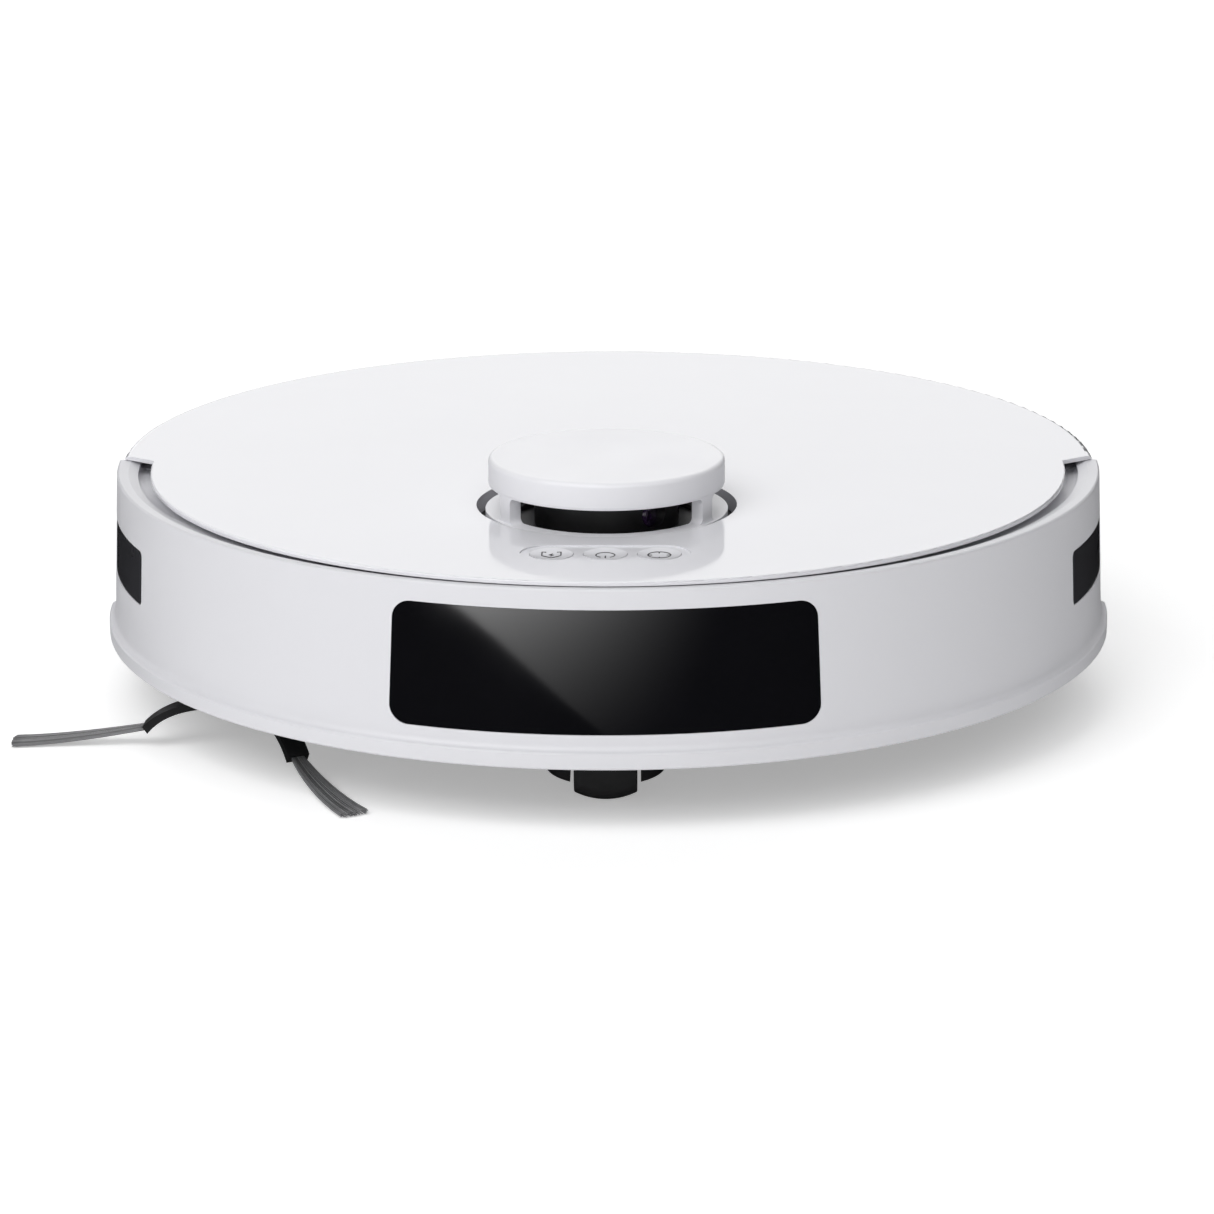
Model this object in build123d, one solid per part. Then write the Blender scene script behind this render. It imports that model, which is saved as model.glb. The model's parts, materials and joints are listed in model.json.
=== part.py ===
# Round robotic floor cleaner, modelled as the separate pieces it is assembled from.
# Millimetres. +Z is up, the front (bumper) faces -Y, the machine's left side is +X.
# The origin is the centre of the flat underside of the chassis.
from build123d import *
from math import atan2, cos, degrees, radians, sin
import os

# ---------------------------------------------------------------- driving dimensions
floor_z = -9.5                    # surface the machine stands on
fit_gap = 0.3                     # between pieces on different bodies
running_gap = 0.08                # radial, shaft in bearing

wall = 2.2                        # moulded wall thickness
base_flat_radius = 138.0          # flat underside, before the edge turns up
base_edge_radius = 164.5
base_edge_z = 12.0
base_thickness = 2.5
base_rim_top = 16.0

bumper_travel = 3.0
bumper_end_y = -4.5
lip_radius = 175.0
lip_top = 17.4
bumper_foot_radius = 172.7        # wall just above the lip
bumper_foot_z = 19.6
bumper_head_radius = 170.5        # wall at the rim
rim_top = 68.9
rim_thickness = 2.0
rim_inner_radius = 166.2          # the rim's flat top ends here and slopes down to its inner edge
rim_edge_radius = 163.0
rim_slope_drop = 1.2
rim_inner_y = -2.0

rear_radius = 169.4
rear_start_y = bumper_end_y + bumper_travel + 0.6
rear_top = 66.5

ring_outer_radius = 164.6         # raised ring of the deck, under the bumper rim
ring_inner_radius = 150.0
ring_top = rim_top - rim_thickness - fit_gap
deck_top = 64.5
deck_thickness = 2.5

cover_bottom = 69.2
cover_top = 70.6
cover_front_radius = 157.6        # the front of the cover is set in from the rim
cover_front_y = -10.7
cover_rear_radius = 168.8
cover_step_x = 157.3              # the cover steps out to full size at each finger notch
cover_step_y = -13.0
cover_step_slope = 0.7
cover_skirt_bottom = 66.8

window_recess = 0.25
window_thickness = 2.0
front_window_half_angle = 22.85
front_window_flare = 0.9          # wider than that at its bottom and narrower at its top, on each side
front_window_z = (22.6, 62.3)
front_window_corner = 6.0
side_window_angle = 74.2          # from straight ahead to the middle of the window
side_window_half_angle = 9.75
side_window_z = (35.7, 54.3)
side_window_corner = 2.0

turret_y = -72.0
turret_opening_radius = 43.1
turret_cap_radius = 39.06
turret_cap_z = (78.1, 87.0)
turret_post_radii = (34.6, 38.9)
turret_post_width = 6.0
turret_post_angles = (58.0, 140.0, 220.0, 302.0)    # from straight ahead
turret_ring_radii = (35.4, 40.1)
turret_ring_z = (66.2, 69.4)
turret_window_corner = 2.0
rotor_heading = 65.0              # where the lenses look at rest, from straight ahead
rotor_radius = 24.0
rotor_z = (65.2, 77.0)
lens_x = 9.5
lens_z = 71.5
rotor_pulley_radius = 14.0
lidar_motor_x = 29.0
lidar_pulley_radius = 4.0
lidar_belt_z = (56.0, 59.6)
belt_thickness = 0.9
belt_gap = 0.2

button_y = -134.0
button_pitch = 17.0
button_radius = 6.9
button_top = 70.25
button_dish_depth = 0.6
pill_size = (54.0, 18.5)
pill_depth = 0.5

brush_y = -28.0
brush_z = 11.5
brush_core_radius = 12.0
brush_radius = 20.4
brush_half_length = 75.0
brush_fins = 6
brush_twist = 60.0
brush_fin_thickness = 2.0
brush_journal_radius = 4.0
chamber_half_length = 78.0
chamber_cavity_radius = 22.5
chamber_top = 35.5
mouth_front_y = -54.0
mouth_rear_y = -1.0
duct_half_width = 42.0
duct_z = (10.0, 31.0)
brush_pulley_radius = 7.0
brush_motor_pulley_radius = 4.5
brush_motor_z = 48.5
brush_belt_x = (82.2, 86.2)

side_brush_x = -117.4
side_brush_y = -85.4
side_brush_arm_angles = (58.5, 178.5, 298.5)
side_brush_recess_radius = 42.0
side_brush_recess_top = 9.0
side_brush_motor_z = 13.5
side_brush_arm_reach = 37.0
side_brush_tip_reach = 81.9
side_brush_arm_width = 7.5
side_brush_tip_width = 10.0

wheel_x = 114.0
wheel_z = 23.5
wheel_radius = wheel_z - floor_z
wheel_width = 20.0
wheel_hub_radius = 27.0
wheel_pivot_y = 44.0
wheel_pivot_z = 26.0
wheel_lugs = 22

caster_swivel_y = -133.0
caster_wheel_y = -137.0
caster_wheel_radius = 14.5
caster_wheel_z = floor_z + caster_wheel_radius
caster_wheel_width = 20.2
caster_wheel_edge_radius = 12.1   # the tread is crowned
caster_axle_radius = 1.5
caster_fork_radius = 19.4
caster_fork_z = (-1.0, 20.0)
caster_stem_radius = 3.0
caster_socket_top = 36.0

bin_half_width = 62.0
bin_y = (12.0, 118.0)
bin_bottom = 6.0
bin_wall = 2.0
bin_corner = 5.0

battery_half_width = 68.0
battery_y = (-108.0, -57.0)
battery_top = 38.0

fan_x = 97.0
fan_y = 88.0
fan_radius = 29.0
fan_z = (14.0, 52.0)
fan_case_height = 22.0
impeller_radius = 24.0
impeller_blades = 9

grille_angle = 132.0              # from straight ahead, towards the left rear
grille_z = 30.0
grille_size = (44.0, 22.0)

contact_x = (47.2, 64.8)          # charging contacts, one plate on each side
contact_y = (-121.8, -110.2)
contact_thickness = 1.2

cover_rib_radius = 146.5
sensor_board_y = -152.0
switch_x = 89.0
switch_y = -120.0
switch_z = 35.5


# ---------------------------------------------------------------- building helpers
def block(x0, x1, y0, y1, z0, z1):
    """A box from its lowest to its highest corner."""
    size = Box(x1 - x0, y1 - y0, z1 - z0)
    return Pos((x0 + x1) / 2, (y0 + y1) / 2, (z0 + z1) / 2) * size


def disc(x, y, radius, z0, z1):
    """An upright cylinder."""
    return Pos(x, y, (z0 + z1) / 2) * Cylinder(radius, z1 - z0)


def tube(x, y, inner, outer, z0, z1):
    """An upright ring."""
    return disc(x, y, outer, z0, z1) - disc(x, y, inner, z0 - 1, z1 + 1)


def rod_x(x0, x1, y, z, radius):
    """A cylinder lying along X."""
    return Pos((x0 + x1) / 2, y, z) * Rot(0, 90, 0) * Cylinder(radius, abs(x1 - x0))


def forward_rod(x, y, z, radius, length):
    """A cylinder that runs from its rear face towards the front."""
    return Pos(x, y - length / 2, z) * Rot(90, 0, 0) * Cylinder(radius, length)


def turned(*points):
    """A solid of revolution about Z, from (radius, height) points."""
    return revolve(make_face(Plane.XZ * Polyline(*points, close=True)), Axis.Z)


def front_half(last_y):
    """Everything in front of the plane y = last_y."""
    return block(-250, 250, -250, last_y, -60, 250)


def rear_half(first_y):
    """Everything behind the plane y = first_y."""
    return block(-250, 250, first_y, 250, -60, 250)


def both_sides(solid):
    """A solid and its mirror image on the machine's other side."""
    return solid + mirror(solid, Plane.YZ)


def belt_loop(radius_a, radius_b, distance, height):
    """A flat belt round two pulleys, the first at the origin and the second along X."""
    def outline(extra):
        both = Circle(radius_a + extra) + Pos(distance, 0) * Circle(radius_b + extra)
        return make_hull(both.edges())

    loop = outline(belt_gap + belt_thickness) - outline(belt_gap)
    return extrude(loop, height)


# ---------------------------------------------------------------- bumper
def bumper_wall_radius(z):
    """Outside of the bumper wall, which leans in a little towards its top."""
    share = (z - bumper_foot_z) / (rim_top - bumper_foot_z)
    return bumper_foot_radius + share * (bumper_head_radius - bumper_foot_radius)


def window_prism(from_front, half_angle, flare, z_range, corner, shrink):
    """The straight-sided hole that a window fills, pointing out from the centre."""
    half = bumper_wall_radius(sum(z_range) / 2) * sin(radians(half_angle)) - shrink
    rise = (z_range[1] - z_range[0]) / 2 - shrink
    corners = Polyline((-half - flare, -rise), (half + flare, -rise), (half - flare, rise),
                       (-half + flare, rise), close=True)
    outline = make_face(corners)
    outline = fillet(outline.vertices(), corner - shrink)
    prism = extrude(Plane.XZ * outline, 200)
    return Rot(0, 0, from_front) * Pos(0, 0, sum(z_range) / 2) * prism


def window_places():
    """Direction from straight ahead, half angle, flare, heights and corner radius of each window."""
    front = (0.0, front_window_half_angle, front_window_flare, front_window_z, front_window_corner)
    left = (side_window_angle, side_window_half_angle, 0.0, side_window_z, side_window_corner)
    right = (-side_window_angle, side_window_half_angle, 0.0, side_window_z, side_window_corner)
    return {"front_window": front, "left_side_window": left, "right_side_window": right}


def bumper_shell():
    lip_bottom_inner = base_edge_radius + bumper_travel + 1.0
    outer_edge = 0.5
    profile = [
        Line((lip_bottom_inner, base_edge_z), (lip_radius - outer_edge, base_edge_z)),
        Line((lip_radius - outer_edge, base_edge_z), (lip_radius, base_edge_z + outer_edge)),
        Line((lip_radius, base_edge_z + outer_edge), (lip_radius, lip_top - outer_edge)),
        Line((lip_radius, lip_top - outer_edge), (lip_radius - outer_edge, lip_top)),
        ThreePointArc((lip_radius - outer_edge, lip_top), (lip_radius - 1.7, lip_top + 0.65),
                      (bumper_foot_radius, bumper_foot_z)),
        Line((bumper_foot_radius, bumper_foot_z), (bumper_head_radius, rim_top - 0.8)),
        ThreePointArc((bumper_head_radius, rim_top - 0.8),
                      (bumper_head_radius - 0.25, rim_top - 0.25),
                      (bumper_head_radius - 0.8, rim_top)),
        Polyline((bumper_head_radius - 0.8, rim_top),
                 (rim_edge_radius - 4, rim_top),
                 (rim_edge_radius - 4, rim_top - rim_thickness),
                 (bumper_head_radius - wall, rim_top - rim_thickness),
                 (bumper_foot_radius - wall, bumper_foot_z),
                 (bumper_foot_radius - wall, base_edge_z + rim_thickness),
                 (lip_bottom_inner, base_edge_z + rim_thickness),
                 (lip_bottom_inner, base_edge_z)),
    ]
    shell = revolve(Plane.XZ * make_face(profile), Axis.Z)
    shell -= disc(0, rim_inner_y, rim_edge_radius, rim_top - rim_thickness - 1, rim_top + 1)
    shell -= Pos(0, rim_inner_y, 0) * turned((0, rim_top - rim_slope_drop),
                                             (rim_edge_radius, rim_top - rim_slope_drop),
                                             (rim_inner_radius, rim_top),
                                             (rim_inner_radius, rim_top + 1), (0, rim_top + 1))
    for place in window_places().values():
        shell -= window_prism(*place, shrink=0)
    shell &= front_half(bumper_end_y)
    tab_end_y = switch_y - 2 - bumper_travel - 0.2
    tab = block(switch_x - 3, switch_x + 3, -160.0, tab_end_y, switch_z - 1.5, switch_z + 1.5)
    tab &= disc(0, 0, bumper_wall_radius(switch_z) - 0.5, switch_z - 5, switch_z + 5)
    return shell + both_sides(tab)


def window(name):
    """A curved dark panel that lies a little below the bumper's surface."""
    low, high = 18.0, 66.0
    outer_low = bumper_wall_radius(low) - window_recess
    outer_high = bumper_wall_radius(high) - window_recess
    skin = turned((outer_low, low), (outer_high, high),
                  (outer_high - window_thickness, high), (outer_low - window_thickness, low))
    return skin & window_prism(*window_places()[name], shrink=0.12)


def front_sensor_board():
    """Circuit board behind the front window, with its camera and its row of emitters."""
    board = block(-48, 48, sensor_board_y, sensor_board_y + 1.6, 30, 54)
    camera = forward_rod(0, sensor_board_y, 43, 6.0, 9.0)
    for x in (-38, -24, 24, 38):
        camera += block(x - 3, x + 3, sensor_board_y - 3, sensor_board_y, 40, 46)
    for x in (-44, 44):
        camera += block(x - 2, x + 2, sensor_board_y + 1.6, sensor_board_y + 6, 32, 36)
    return board + camera


# ---------------------------------------------------------------- chassis
def wheel_well():
    """Room for one drive wheel and its arm, on the +X side."""
    return block(88.5, wheel_x + wheel_width / 2 + 4, -39, 53, -5, 60)


def base_chassis():
    floor = turned((0, 0), (base_flat_radius, 0), (base_edge_radius, base_edge_z),
                   (base_edge_radius, base_rim_top), (base_edge_radius - wall, base_rim_top),
                   (base_edge_radius - wall, base_edge_z + 1.2), (base_flat_radius - 1, base_thickness),
                   (0, base_thickness))
    floor -= both_sides(wheel_well())
    floor -= block(-chamber_half_length, chamber_half_length, mouth_front_y, mouth_rear_y, -5, 5)
    floor -= disc(0, caster_swivel_y, caster_fork_radius + 1.4, -5, 20)
    floor -= battery_cover_block(0.2)
    dome = disc(side_brush_x, side_brush_y, side_brush_recess_radius + 2, 0, side_brush_recess_top + 2)
    dome &= turned((0, 0), (base_flat_radius, 0), (base_edge_radius - 0.2, base_edge_z - 0.1),
                   (base_edge_radius - 0.2, base_rim_top), (0, base_rim_top))
    floor += dome
    floor -= disc(side_brush_x, side_brush_y, side_brush_recess_radius, -5, side_brush_recess_top)
    floor += disc(side_brush_x, side_brush_y, 16.5, side_brush_recess_top, side_brush_motor_z)
    floor -= disc(side_brush_x, side_brush_y, 5.0, 0, 20)
    for x, y in cliff_sensor_places():
        floor -= block(x - 8, x + 8, y - 4, y + 4, -1, 5)
    floor -= charging_contact_plates(0.2)
    for x, y in chassis_screw_places():
        floor -= disc(x, y, 3.2, -1, 1.4)
        floor -= disc(x, y, 1.6, -1, 5)
    return floor - wheel_brackets()


def wheel_brackets():
    """Upright ears, two for each wheel arm, that hold the arm's pivot pin."""
    ears = Part()
    for x0, x1 in ((84.0, 88.0), (128.5, 132.5)):
        ear = block(x0, x1, wheel_pivot_y - 6, wheel_pivot_y + 6, base_thickness, wheel_pivot_z)
        ear += rod_x(x0, x1, wheel_pivot_y, wheel_pivot_z, 6)
        ears += ear
    return both_sides(ears - rod_x(80, 136, wheel_pivot_y, wheel_pivot_z, 2.0))


def battery_cover_block(extra):
    cover = block(-62, 62, battery_y[0] + 3, battery_y[1] - 3, 0.3, base_thickness)
    if extra:
        cover = block(-62 - extra, 62 + extra, battery_y[0] + 3 - extra, battery_y[1] - 3 + extra, -1, 5)
    return cover


def battery_cover():
    cover = battery_cover_block(0)
    cover -= block(-12, 12, battery_y[0] + 3, battery_y[0] + 8, -1, 1.6)
    for x in (-54, 54):
        cover -= disc(x, battery_y[1] - 9, 3.2, -1, 1.5)
        cover -= disc(x, battery_y[1] - 9, 1.6, -1, 5)
    return cover


def battery_pack():
    pack = block(-battery_half_width, battery_half_width, *battery_y, base_thickness, battery_top)
    pack = fillet(pack.edges().filter_by(Axis.X), 5)
    return pack - block(-20, 20, battery_y[1] - 3, battery_y[1] + 1, battery_top - 8, battery_top + 1)


def cliff_sensor_places():
    return [(-38, -128), (38, -128), (-92, 94), (92, 94)]


def cliff_sensors():
    sensors = Part()
    for x, y in cliff_sensor_places():
        lens = block(x - 7.8, x + 7.8, y - 3.8, y + 3.8, 0.4, 4.6)
        lens -= disc(x - 4, y, 2.0, 0, 1.2)
        lens -= disc(x + 4, y, 2.0, 0, 1.2)
        sensors += lens
    return sensors


def charging_contact_plates(extra):
    """The two contact plates, or the pockets that they sit in."""
    x0, x1 = contact_x
    y0, y1 = contact_y
    plate = block(x0 - extra, x1 + extra, y0 - extra, y1 + extra, 0, contact_thickness)
    return both_sides(fillet(plate.edges().filter_by(Axis.Z), 2 + extra))


def charging_contacts():
    """Two flush metal plates that the charging dock touches."""
    return charging_contact_plates(0)


def chassis_screw_places():
    return [(-60, 123), (60, 123), (0, 134), (-134, 0), (134, 0), (100, -88), (78, -108)]


def chassis_screws():
    screws = Part()
    for x, y in chassis_screw_places():
        screw = disc(x, y, 2.9, 0.3, 1.4) + disc(x, y, 1.5, 1.4, 8.0)
        screw -= block(x - 2.0, x + 2.0, y - 0.35, y + 0.35, 0, 0.9)
        screw -= block(x - 0.35, x + 0.35, y - 2.0, y + 2.0, 0, 0.9)
        screws += screw
    return screws


def scoop_groove():
    """Finger scoop in the deck's ring: it runs out of the surface towards the front."""
    centre_radius, tube_radius, rise, run, lowest = 159.6, 9.0, 2.6, 92.0, 64.5
    lean = degrees(atan2(rise, run))
    scoop = Rot(-lean, 0, 0) * Pos(0, -cover_step_y, 0) * Torus(centre_radius, tube_radius)
    return Pos(0, cover_step_y, lowest + tube_radius) * scoop


def upper_housing():
    ring_bottom = deck_top - deck_thickness
    housing = disc(0, 0, ring_outer_radius, ring_bottom, deck_top)
    housing += tube(0, 0, ring_inner_radius, ring_outer_radius, ring_bottom, ring_top)
    wall_outer = ring_outer_radius - 0.1
    housing += tube(0, 0, wall_outer - wall, wall_outer, base_rim_top, ring_bottom)
    housing -= scoop_groove() & front_half(0)
    housing -= tube(0, 0, 158, 170, deck_top, 70) & rear_half(0)
    housing -= disc(0, turret_y, turret_opening_radius + 0.6, 50, 80)
    housing -= block(-bin_half_width - 1, bin_half_width + 1, bin_y[0] - 1, bin_y[1] + 1, 50, 70)
    housing -= block(-84, -72, 35, 41, 50, 70)
    housing -= block(-50, 50, -170, -150, 28, 56)
    housing -= both_sides(block(switch_x - 4.5, switch_x + 4.5, -160, -128, switch_z - 3, switch_z + 3))
    housing -= grille_prism(4)
    for x in (-136, 136):
        housing -= disc(x, 60, 4.0, deck_top - 1, deck_top + 1)
    return housing


def rear_shell():
    """White skirt round the back, with a tongue at each end that reaches inside the bumper."""
    skirt = tube(0, 0, rear_radius - wall, rear_radius, base_edge_z, rear_top)
    skirt = fillet(skirt.edges().group_by(Axis.Z)[0], 0.8)
    skirt &= rear_half(rear_start_y)
    tongue = tube(0, 0, ring_outer_radius + 0.05, rear_radius - wall - 0.4, base_edge_z + 4, ring_top - 1)
    skirt += tongue & rear_half(-16) & front_half(6)
    bridge = tube(0, 0, rear_radius - wall - 1, rear_radius - wall + 0.5, base_edge_z + 4, ring_top - 1)
    skirt += bridge & rear_half(rear_start_y) & front_half(6)
    foot = tube(0, 0, base_edge_radius + 0.1, rear_radius - 1, base_edge_z, base_edge_z + 2)
    skirt += foot & rear_half(rear_start_y)
    return skirt - grille_prism(0)


def grille_prism(shrink):
    """Outline of the exhaust grille, at the machine's left rear."""
    width, height = grille_size
    outline = RectangleRounded(width - 2 * shrink, height - 2 * shrink, 4)
    return Rot(0, 0, grille_angle) * Pos(0, 0, grille_z) * extrude(Plane.XZ * outline, 200)


def exhaust_grille():
    grille = tube(0, 0, rear_radius - wall, rear_radius - 0.4, 15, 60) & grille_prism(0.1)
    slot = Rot(0, 0, grille_angle) * extrude(Plane.XZ * SlotOverall(34, 2.0), 200)
    for row in range(5):
        grille -= Pos(0, 0, grille_z + 3.8 * (row - 2)) * slot
    return grille


# ---------------------------------------------------------------- cover and buttons
def behind_step():
    """Everything behind the slanted step at each finger notch, where the cover is full size."""
    far = 60.0
    far_x = cover_step_x + far
    far_y = cover_step_y + far * cover_step_slope
    outline = Polyline((-cover_step_x, cover_step_y), (cover_step_x, cover_step_y), (far_x, far_y),
                       (far_x, 220), (-far_x, 220), (-far_x, far_y), close=True)
    return extrude(Pos(0, 0, 40) * make_face(outline), 60)


def top_cover():
    rounding = 2.3
    profile = [
        Polyline((cover_rear_radius - rounding, cover_top), (0, cover_top), (0, cover_skirt_bottom),
                 (cover_rear_radius, cover_skirt_bottom), (cover_rear_radius, cover_top - rounding)),
        RadiusArc((cover_rear_radius, cover_top - rounding),
                  (cover_rear_radius - rounding, cover_top), -rounding),
    ]
    rear = revolve(Plane.XZ * make_face(profile), Axis.Z)
    rear -= disc(0, 0, cover_rear_radius - 7, 60, cover_bottom)
    rear -= block(-200, 200, -200, 0.4, 60, cover_bottom)
    rear &= behind_step()
    front = disc(0, cover_front_y, cover_front_radius, cover_bottom, cover_top)
    front = fillet(front.edges().group_by(Axis.Z)[-1], 0.5)
    cover = rear + (front - behind_step())
    cover -= disc(0, turret_y, turret_opening_radius, 60, 80)
    cover += tube(0, turret_y, turret_opening_radius, turret_opening_radius + 1.6,
                  deck_top + fit_gap, cover_bottom)
    cover += tube(0, 0, cover_rib_radius, cover_rib_radius + 1.8, deck_top + fit_gap, cover_bottom)
    cover -= extrude(Pos(0, button_y, cover_top - pill_depth) * SlotOverall(*pill_size), 5)
    for x in (-button_pitch, 0, button_pitch):
        cover -= disc(x, button_y, button_radius + 0.15, 60, 80)
    return cover


def button(x):
    """A dished push button with a flange under the cover and a stem down to its switch."""
    cap = disc(x, button_y, button_radius, cover_bottom - 1.0, button_top)
    cap += disc(x, button_y, button_radius + 1.0, cover_bottom - 1.3, cover_bottom - 0.2)
    cap += disc(x, button_y, 2.0, cover_bottom - 1.9, cover_bottom - 1.2)
    dish_radius = (button_radius ** 2 + button_dish_depth ** 2) / (2 * button_dish_depth)
    return cap - Pos(x, button_y, button_top + dish_radius - button_dish_depth) * Sphere(dish_radius)


def button_board():
    board = block(-30, 30, button_y - 8, button_y + 8, deck_top, deck_top + 1.0)
    for x in (-button_pitch, 0, button_pitch):
        board += block(x - 3, x + 3, button_y - 3, button_y + 3, deck_top + 1.0, cover_bottom - 2.8)
    return board


def power_switch():
    """Small slide switch on the deck, reached with the cover off."""
    knob = block(-82, -76, 35.5, 40.5, deck_top - 3, deck_top + 1.0)
    for x in (-80.5, -79, -77.5):
        knob -= block(x - 0.3, x + 0.3, 35, 41, deck_top + 0.6, deck_top + 2)
    return knob


# ---------------------------------------------------------------- laser turret
def on_turret(solid):
    return Pos(0, turret_y, 0) * solid


def turret_window(start, end):
    """Rounded opening that the laser looks through, between two posts."""
    low, high = turret_ring_z[1], turret_cap_z[0]
    wedge = Polyline((0, 0), turret_ray(start), turret_ray((start + end) / 2), turret_ray(end), close=True)
    opening = tube(0, 0, 30, 45, low, high) & extrude(Pos(0, 0, low) * make_face(wedge), high - low)
    level_sides = opening.edges().filter_by(GeomType.LINE).filter_by(Axis.Z, reverse=True)
    return fillet(level_sides, turret_window_corner)


def turret_ray(angle):
    """A far point in a direction counted from straight ahead."""
    far = 200.0
    return (far * sin(radians(angle)), -far * cos(radians(angle)))


def turret_cap():
    """Cap, posts and bottom ring in one moulding."""
    low, high = turret_cap_z
    cap = disc(0, 0, turret_cap_radius, low, high)
    cap = fillet(cap.edges().group_by(Axis.Z)[-1], 1.6)
    cap = fillet(cap.edges().group_by(Axis.Z)[0], 0.8)
    cap -= disc(0, 0, 30, low - 1, low + 4)
    cage = tube(0, 0, *turret_post_radii, turret_ring_z[0], low + 2)
    cage += tube(0, 0, *turret_ring_radii, *turret_ring_z)
    half_post = degrees(turret_post_width / 2 / turret_post_radii[1])
    next_angles = turret_post_angles[1:] + (turret_post_angles[0] + 360,)
    for angle, next_angle in zip(turret_post_angles, next_angles):
        cage -= turret_window(angle + half_post, next_angle - half_post)
    return on_turret(cap + cage)


def lidar_base():
    """Black floor of the turret well, with the rotor's bearing tube and the belt guard below it."""
    base = disc(0, 0, turret_opening_radius + 0.3, deck_top - deck_thickness, deck_top)
    base += disc(0, 0, 14.0, lidar_belt_z[1] + 0.6, deck_top)
    base -= disc(0, 0, 8.0 + running_gap, 50, 80)
    base += tube(0, 0, 31.5, 33.5, deck_top, deck_top + 1.6)
    return on_turret(base)


def lidar_rotor():
    """Turning head with two barrels for its lenses, and the belt pulley under the deck."""
    rotor = disc(0, 0, rotor_radius, *rotor_z)
    rotor = fillet(rotor.edges().group_by(Axis.Z)[-1], 1.2)
    for x in (-lens_x, lens_x):
        rotor -= forward_rod(x, 0, lens_z, 4.6, 60)
        rotor += forward_rod(x, -5, lens_z, 4.6, 14)
    rotor += disc(0, 0, 8.0, lidar_belt_z[1] + 0.4, rotor_z[0])
    rotor += disc(0, 0, rotor_pulley_radius, *lidar_belt_z)
    rotor += disc(0, 0, rotor_pulley_radius - 2, lidar_belt_z[1], lidar_belt_z[1] + 0.4)
    return on_turret(Rot(0, 0, rotor_heading) * rotor)


def lidar_lenses():
    """Two glass lenses, seated in the rotor's barrels."""
    lenses = Part()
    for x in (-lens_x, lens_x):
        glass = forward_rod(x, -19, lens_z, 4.5, 2.0)
        lenses += fillet(glass.edges().group_by(Axis.Y)[0], 0.8)
    return on_turret(Rot(0, 0, rotor_heading) * lenses)


def lidar_motor():
    motor = disc(lidar_motor_x, 0, 9.0, 40.0, 53.0)
    motor = fillet(motor.edges().group_by(Axis.Z)[0], 1.5)
    motor += disc(lidar_motor_x, 0, 3.5, 53.0, 54.2)
    motor += block(lidar_motor_x - 14, lidar_motor_x + 14, -3.5, 3.5, 52.0, 53.0)
    return on_turret(motor)


def lidar_motor_pulley():
    pulley = disc(lidar_motor_x, 0, lidar_pulley_radius, *lidar_belt_z)
    low, high = lidar_belt_z
    pulley += disc(lidar_motor_x, 0, lidar_pulley_radius + 1.2, high + 0.2, high + 1.0)
    pulley += disc(lidar_motor_x, 0, 2.0, low - 1.5, high + 0.3)
    return on_turret(pulley)


def lidar_belt():
    low, high = lidar_belt_z
    loop = belt_loop(rotor_pulley_radius, lidar_pulley_radius, lidar_motor_x, high - low - 0.8)
    return on_turret(Pos(0, 0, low + 0.4) * loop)


# ---------------------------------------------------------------- main brush
def brush_chamber():
    end = chamber_half_length + 3
    body = block(-end, end, mouth_front_y + 1, mouth_rear_y + 2, base_thickness, chamber_top)
    body = chamfer(body.edges().filter_by(Axis.X).group_by(Axis.Z)[-1], 8)
    body += block(-duct_half_width, duct_half_width, mouth_rear_y + 2, bin_y[0] - 0.6, *duct_z)
    hollow = chamber_half_length
    body -= rod_x(-hollow, hollow, brush_y, brush_z, chamber_cavity_radius)
    body -= block(-hollow, hollow, brush_y, mouth_rear_y, 0, duct_z[1] - 2)
    body -= block(-hollow, hollow, brush_y - chamber_cavity_radius + 1, brush_y, 0, brush_z)
    body -= block(-duct_half_width + 2, duct_half_width - 2, mouth_rear_y - 1, bin_y[0] + 1,
                  duct_z[0] + 2, duct_z[1] - 2)
    return body - rod_x(-100, 100, brush_y, brush_z, brush_journal_radius + running_gap)


def brush_guard():
    """Clip-in frame round the mouth of the chamber, which holds the brush in."""
    front, rear = mouth_front_y + 0.3, mouth_rear_y - 0.3
    half = chamber_half_length - 0.3
    guard = block(-half, half, front, rear, -1.2, 1.0)
    guard -= block(-half + 1.6, half - 1.6, front + 3, rear - 1.2, -5, 5)
    for x in (-60, 60):
        guard += block(x - 8, x + 8, front, front + 3, 1.0, base_thickness)
    return guard


def main_brush_core():
    core = rod_x(-brush_half_length, brush_half_length, brush_y, brush_z, brush_core_radius)
    for side, journal_overhang in ((-1, 2.5), (1, 9.0)):
        inner, outer = side * brush_half_length, side * (chamber_half_length + journal_overhang)
        core += rod_x(inner, outer, brush_y, brush_z, brush_journal_radius)
        core += rod_x(inner - side, inner + side * 0.5, brush_y, brush_z, 14.5)
    return core


def main_brush_bristles():
    """Twisted rubber and bristle strips in a chevron, seated on the core."""
    root = brush_core_radius - 1.0
    middle_gap = 0.4
    strip = Pos((root + brush_radius) / 2, 0) * Rectangle(brush_radius - root, brush_fin_thickness)
    length = brush_half_length - 1.5 - middle_gap
    bristles = Part()
    for index in range(brush_fins):
        section = Rot(0, 0, index * 360 / brush_fins) * strip
        path = (0, 0, length)
        fin = Solid.extrude_linear_with_rotation(section.face(), (0, 0, 0), path, brush_twist)
        fin -= Cylinder(brush_core_radius, 3 * length)
        fin = Pos(middle_gap, brush_y, brush_z) * Rot(0, 90, 0) * fin
        bristles += both_sides(fin)
    return bristles


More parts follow.
